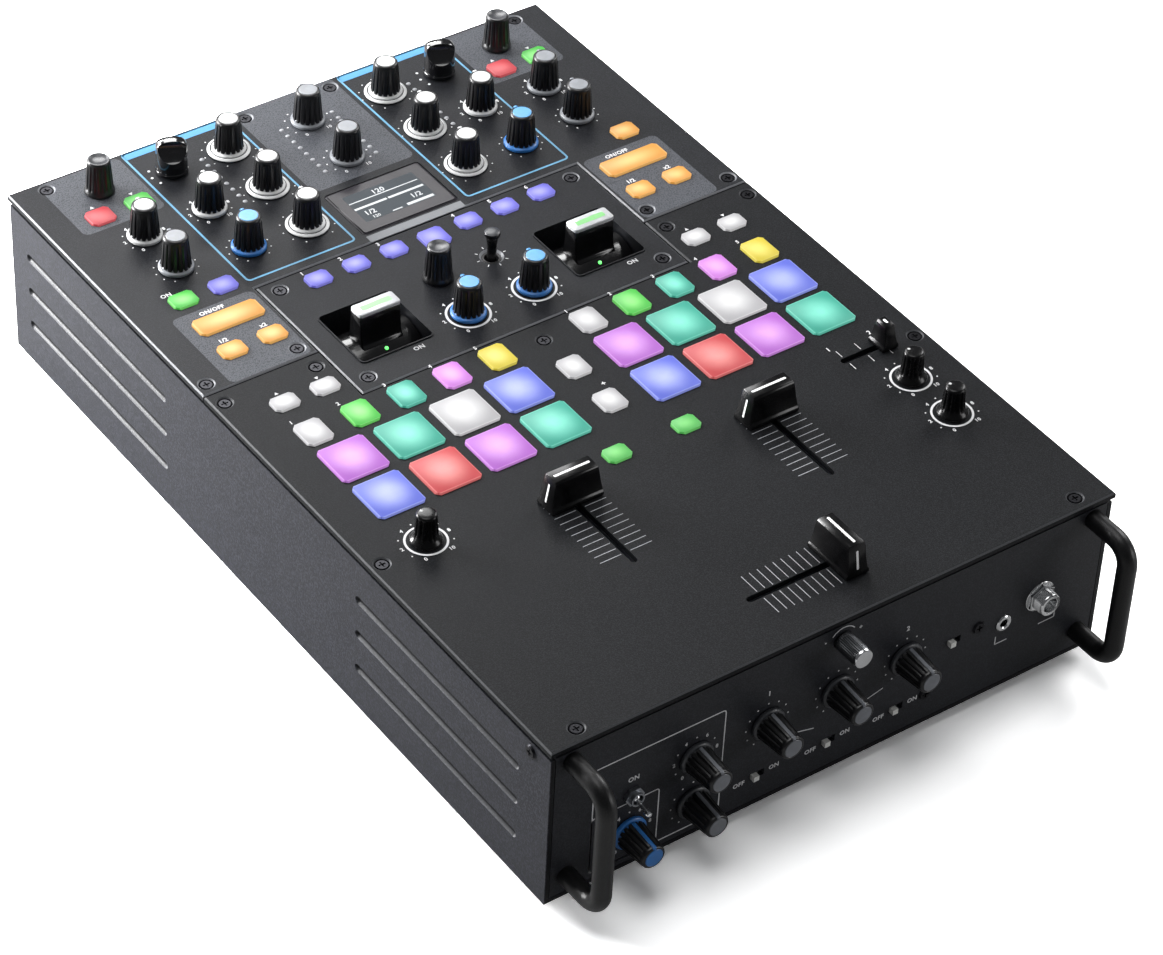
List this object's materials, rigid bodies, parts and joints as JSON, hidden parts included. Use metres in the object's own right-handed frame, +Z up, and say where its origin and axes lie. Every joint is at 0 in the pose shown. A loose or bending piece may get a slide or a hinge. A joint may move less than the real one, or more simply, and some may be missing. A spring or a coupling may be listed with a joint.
{
  "type": "dj mixer",
  "caption": "Two-channel battle mixer: steel tub with three top plates, knobs, faders, lit pads and keys, effect paddles, sockets and front handles.",
  "frame": {"origin": "middle of the box at the underside of the rubber feet", "axes": "+X to the user's right, +Y away from the user towards the rear sockets, +Z up"},
  "size_m": [0.2666, 0.426, 0.1001],
  "materials": {
    "tub_steel": "fine powder coat, satin",
    "plate_steel": "fine powder coat, matt",
    "fx_plate_steel": "fine powder coat, matt",
    "pad_plate_steel": "fine powder coat, matt",
    "front_steel": "satin black",
    "rear_steel": "satin black",
    "handle_steel": "satin black",
    "foot_rubber": "moulded",
    "screw_black": "black oxide",
    "screen": "glossy window",
    "nickel": "nickel plate",
    "socket_body": "moulded with plated contacts",
    "control_metal": "stamped",
    "board_green": "solder mask",
    "key_amber": "translucent, lit",
    "key_white": "translucent, lit",
    "pad_silicone": "translucent silicone, lit",
    "knob_white": "soft-touch body with white skirt and cap",
    "knob_grey": "soft-touch body with grey skirt and cap",
    "knob_blue": "soft-touch body with blue skirt and cap",
    "knob_black": "satin black",
    "knob_gloss": "gloss black",
    "knob_silver": "knurled",
    "paddle_black": "gloss black with lit top",
    "cap_black": "satin with white line",
    "toggle_metal": "nickel plate",
    "switch_white": "moulded"
  },
  "bodies": {
    "housing": {"chassis": "tub_steel", "front_panel": "front_steel", "rear_panel": "rear_steel", "mixer_plate": "plate_steel", "fx_plate": "fx_plate_steel", "pad_plate": "pad_plate_steel", "front_handles": "handle_steel", "rubber_feet": "foot_rubber", "panel_screws": "screw_black", "display_and_meters": "screen", "headphone_jacks": "nickel", "rear_sockets": "socket_body", "control_units": "control_metal", "circuit_boards": "board_green"},
    "deck1_high_knob": {"deck1_high_knob": "knob_white"},
    "deck1_mid_knob": {"deck1_mid_knob": "knob_white"},
    "deck1_low_knob": {"deck1_low_knob": "knob_white"},
    "deck1_level_knob": {"deck1_level_knob": "knob_white"},
    "deck1_filter_knob": {"deck1_filter_knob": "knob_blue"},
    "deck2_high_knob": {"deck2_high_knob": "knob_white"},
    "deck2_mid_knob": {"deck2_mid_knob": "knob_white"},
    "deck2_low_knob": {"deck2_low_knob": "knob_white"},
    "deck2_level_knob": {"deck2_level_knob": "knob_white"},
    "deck2_filter_knob": {"deck2_filter_knob": "knob_blue"},
    "main_level_knob": {"main_level_knob": "knob_grey"},
    "booth_level_knob": {"booth_level_knob": "knob_grey"},
    "mic_level_knob": {"mic_level_knob": "knob_white"},
    "mic_tone_knob": {"mic_tone_knob": "knob_grey"},
    "session_in_knob": {"session_in_knob": "knob_grey"},
    "session_out_knob": {"session_out_knob": "knob_grey"},
    "deck1_depth_knob": {"deck1_depth_knob": "knob_blue"},
    "deck2_depth_knob": {"deck2_depth_knob": "knob_blue"},
    "sampler_knob": {"sampler_knob": "knob_gloss"},
    "cue_mix_knob": {"cue_mix_knob": "knob_gloss"},
    "cue_level_knob": {"cue_level_knob": "knob_gloss"},
    "deck1_scroll_encoder": {"deck1_scroll_encoder": "knob_black"},
    "deck2_scroll_encoder": {"deck2_scroll_encoder": "knob_black"},
    "fx_time_encoder": {"fx_time_encoder": "knob_black"},
    "deck1_source_selector": {"deck1_source_selector": "knob_black"},
    "deck2_source_selector": {"deck2_source_selector": "knob_black"},
    "front_mic1_knob": {"front_mic1_knob": "knob_blue"},
    "front_mic2_knob": {"front_mic2_knob": "knob_grey"},
    "front_tone_knob": {"front_tone_knob": "knob_grey"},
    "deck1_contour_knob": {"deck1_contour_knob": "knob_grey"},
    "crossfader_contour_knob": {"crossfader_contour_knob": "knob_grey"},
    "deck2_contour_knob": {"deck2_contour_knob": "knob_grey"},
    "tension_knob": {"tension_knob": "knob_silver"},
    "deck1_fader_cap": {"deck1_fader_cap": "cap_black"},
    "deck2_fader_cap": {"deck2_fader_cap": "cap_black"},
    "crossfader_cap": {"crossfader_cap": "cap_black"},
    "cue_slider_cap": {"cue_slider_cap": "cap_black"},
    "deck1_fx_paddle": {"deck1_fx_paddle": "paddle_black"},
    "deck2_fx_paddle": {"deck2_fx_paddle": "paddle_black"},
    "beat_lever": {"beat_lever": "knob_black"},
    "mic_toggle": {"mic_toggle": "toggle_metal"},
    "front_slide_switches": {"front_slide_switches": "switch_white"},
    "power_rocker": {"power_rocker": "knob_gloss"},
    "mixer_keys": {"mixer_keys": "key_amber"},
    "pad_plate_keys": {"pad_plate_keys": "key_white"},
    "performance_pads": {"performance_pads": "pad_silicone"}
  },
  "joints": [
    {"name": "deck1_high_turn", "type": "hinge", "parent": "housing", "child": "deck1_high_knob", "pos_m": [-0.0393, 0.183, 0.0834], "axis": [0, 0, 1], "range_deg": [-150, 150]},
    {"name": "deck1_mid_turn", "type": "hinge", "parent": "housing", "child": "deck1_mid_knob", "pos_m": [-0.0393, 0.1522, 0.0834], "axis": [0, 0, 1], "range_deg": [-150, 150]},
    {"name": "deck1_low_turn", "type": "hinge", "parent": "housing", "child": "deck1_low_knob", "pos_m": [-0.0393, 0.1216, 0.0834], "axis": [0, 0, 1], "range_deg": [-150, 150]},
    {"name": "deck1_level_turn", "type": "hinge", "parent": "housing", "child": "deck1_level_knob", "pos_m": [-0.0675, 0.1522, 0.0834], "axis": [0, 0, 1], "range_deg": [-150, 150]},
    {"name": "deck1_filter_turn", "type": "hinge", "parent": "housing", "child": "deck1_filter_knob", "pos_m": [-0.0675, 0.1216, 0.0834], "axis": [0, 0, 1], "range_deg": [-150, 150]},
    {"name": "deck2_high_turn", "type": "hinge", "parent": "housing", "child": "deck2_high_knob", "pos_m": [0.0393, 0.183, 0.0834], "axis": [0, 0, 1], "range_deg": [-150, 150]},
    {"name": "deck2_mid_turn", "type": "hinge", "parent": "housing", "child": "deck2_mid_knob", "pos_m": [0.0393, 0.1522, 0.0834], "axis": [0, 0, 1], "range_deg": [-150, 150]},
    {"name": "deck2_low_turn", "type": "hinge", "parent": "housing", "child": "deck2_low_knob", "pos_m": [0.0393, 0.1216, 0.0834], "axis": [0, 0, 1], "range_deg": [-150, 150]},
    {"name": "deck2_level_turn", "type": "hinge", "parent": "housing", "child": "deck2_level_knob", "pos_m": [0.0675, 0.1522, 0.0834], "axis": [0, 0, 1], "range_deg": [-150, 150]},
    {"name": "deck2_filter_turn", "type": "hinge", "parent": "housing", "child": "deck2_filter_knob", "pos_m": [0.0675, 0.1216, 0.0834], "axis": [0, 0, 1], "range_deg": [-150, 150]},
    {"name": "main_level_turn", "type": "hinge", "parent": "housing", "child": "main_level_knob", "pos_m": [0, 0.183, 0.0834], "axis": [0, 0, 1], "range_deg": [-150, 150]},
    {"name": "booth_level_turn", "type": "hinge", "parent": "housing", "child": "booth_level_knob", "pos_m": [0, 0.1522, 0.0834], "axis": [0, 0, 1], "range_deg": [-150, 150]},
    {"name": "mic_level_turn", "type": "hinge", "parent": "housing", "child": "mic_level_knob", "pos_m": [-0.0995, 0.1504, 0.0834], "axis": [0, 0, 1], "range_deg": [-150, 150]},
    {"name": "mic_tone_turn", "type": "hinge", "parent": "housing", "child": "mic_tone_knob", "pos_m": [-0.0995, 0.1257, 0.0834], "axis": [0, 0, 1], "range_deg": [-150, 150]},
    {"name": "session_in_turn", "type": "hinge", "parent": "housing", "child": "session_in_knob", "pos_m": [0.0995, 0.1504, 0.0834], "axis": [0, 0, 1], "range_deg": [-150, 150]},
    {"name": "session_out_turn", "type": "hinge", "parent": "housing", "child": "session_out_knob", "pos_m": [0.0995, 0.1257, 0.0834], "axis": [0, 0, 1], "range_deg": [-150, 150]},
    {"name": "deck1_depth_turn", "type": "hinge", "parent": "housing", "child": "deck1_depth_knob", "pos_m": [-0.0161, 0.0377, 0.0834], "axis": [0, 0, 1], "range_deg": [-150, 150]},
    {"name": "deck2_depth_turn", "type": "hinge", "parent": "housing", "child": "deck2_depth_knob", "pos_m": [0.0161, 0.0377, 0.0834], "axis": [0, 0, 1], "range_deg": [-150, 150]},
    {"name": "sampler_turn", "type": "hinge", "parent": "housing", "child": "sampler_knob", "pos_m": [-0.1067, -0.0678, 0.0834], "axis": [0, 0, 1], "range_deg": [-150, 150]},
    {"name": "cue_mix_turn", "type": "hinge", "parent": "housing", "child": "cue_mix_knob", "pos_m": [0.1096, -0.0902, 0.0834], "axis": [0, 0, 1], "range_deg": [-150, 150]},
    {"name": "cue_level_turn", "type": "hinge", "parent": "housing", "child": "cue_level_knob", "pos_m": [0.1097, -0.116, 0.0834], "axis": [0, 0, 1], "range_deg": [-150, 150]},
    {"name": "deck1_scroll_encoder_turn", "type": "hinge", "parent": "housing", "child": "deck1_scroll_encoder", "pos_m": [-0.0995, 0.1868, 0.0834], "axis": [0, 0, 1], "continuous": true},
    {"name": "deck2_scroll_encoder_turn", "type": "hinge", "parent": "housing", "child": "deck2_scroll_encoder", "pos_m": [0.0995, 0.1868, 0.0834], "axis": [0, 0, 1], "continuous": true},
    {"name": "fx_time_encoder_turn", "type": "hinge", "parent": "housing", "child": "fx_time_encoder", "pos_m": [-0.0135, 0.0635, 0.0834], "axis": [0, 0, 1], "continuous": true},
    {"name": "deck1_source_selector_turn", "type": "hinge", "parent": "housing", "child": "deck1_source_selector", "pos_m": [-0.067, 0.183, 0.0834], "axis": [0, 0, -1], "range_deg": [0, 90]},
    {"name": "deck2_source_selector_turn", "type": "hinge", "parent": "housing", "child": "deck2_source_selector", "pos_m": [0.067, 0.183, 0.0834], "axis": [0, 0, -1], "range_deg": [0, 90]},
    {"name": "front_mic1_turn", "type": "hinge", "parent": "housing", "child": "front_mic1_knob", "pos_m": [-0.095, -0.187, 0.023], "axis": [0, -1, 0], "range_deg": [-150, 150]},
    {"name": "front_mic2_turn", "type": "hinge", "parent": "housing", "child": "front_mic2_knob", "pos_m": [-0.0657, -0.187, 0.046], "axis": [0, -1, 0], "range_deg": [-150, 150]},
    {"name": "front_tone_turn", "type": "hinge", "parent": "housing", "child": "front_tone_knob", "pos_m": [-0.0657, -0.187, 0.023], "axis": [0, -1, 0], "range_deg": [-150, 150]},
    {"name": "deck1_contour_turn", "type": "hinge", "parent": "housing", "child": "deck1_contour_knob", "pos_m": [-0.0325, -0.187, 0.046], "axis": [0, -1, 0], "range_deg": [-150, 150]},
    {"name": "crossfader_contour_turn", "type": "hinge", "parent": "housing", "child": "crossfader_contour_knob", "pos_m": [0.0005, -0.187, 0.046], "axis": [0, -1, 0], "range_deg": [-150, 150]},
    {"name": "deck2_contour_turn", "type": "hinge", "parent": "housing", "child": "deck2_contour_knob", "pos_m": [0.0335, -0.187, 0.046], "axis": [0, -1, 0], "range_deg": [-150, 150]},
    {"name": "tension_turn", "type": "hinge", "parent": "housing", "child": "tension_knob", "pos_m": [0.001, -0.187, 0.0715], "axis": [0, -1, 0], "range_deg": [-135, 135]},
    {"name": "deck1_fader_slide", "type": "slide", "parent": "housing", "child": "deck1_fader_cap", "axis": [0, 1, 0], "range_m": [-0.0406, 0.0044]},
    {"name": "deck2_fader_slide", "type": "slide", "parent": "housing", "child": "deck2_fader_cap", "axis": [0, 1, 0], "range_m": [-0.0406, 0.0044]},
    {"name": "crossfader_slide", "type": "slide", "parent": "housing", "child": "crossfader_cap", "axis": [1, 0, 0], "range_m": [-0.0406, 0.0044]},
    {"name": "cue_slider_slide", "type": "slide", "parent": "housing", "child": "cue_slider_cap", "axis": [1, 0, 0], "range_m": [-0.0188, 0]},
    {"name": "deck1_fx_paddle_tilt", "type": "hinge", "parent": "housing", "child": "deck1_fx_paddle", "pos_m": [-0.0523, 0.0505, 0.0642], "axis": [-1, 0, 0], "range_deg": [-15, 15]},
    {"name": "deck2_fx_paddle_tilt", "type": "hinge", "parent": "housing", "child": "deck2_fx_paddle", "pos_m": [0.0523, 0.0505, 0.0642], "axis": [-1, 0, 0], "range_deg": [-15, 15]},
    {"name": "beat_lever_tilt", "type": "hinge", "parent": "housing", "child": "beat_lever", "pos_m": [0.013, 0.0638, 0.0794], "axis": [0, 1, 0], "range_deg": [-12, 12], "stiffness_Nm_per_rad": 0.05},
    {"name": "mic_toggle_flip", "type": "hinge", "parent": "housing", "child": "mic_toggle", "pos_m": [-0.094, -0.1886, 0.0415], "axis": [-1, 0, 0], "range_deg": [0, 24]},
    {"name": "front_slide_switches_slide", "type": "slide", "parent": "housing", "child": "front_slide_switches", "axis": [1, 0, 0], "range_m": [0, 0.0033]},
    {"name": "power_rocker_tilt", "type": "hinge", "parent": "housing", "child": "power_rocker", "pos_m": [-0.09, 0.201, 0.057], "axis": [0, 0, -1], "range_deg": [0, 10]},
    {"name": "mixer_keys_press", "type": "slide", "parent": "housing", "child": "mixer_keys", "axis": [0, 0, -1], "range_m": [0, 0.0008], "stiffness_N_per_m": 1500},
    {"name": "pad_plate_keys_press", "type": "slide", "parent": "housing", "child": "pad_plate_keys", "axis": [0, 0, -1], "range_m": [0, 0.0008], "stiffness_N_per_m": 1300},
    {"name": "performance_pads_press", "type": "slide", "parent": "housing", "child": "performance_pads", "axis": [0, 0, -1], "range_m": [0, 0.0008], "stiffness_N_per_m": 1600}
  ]
}
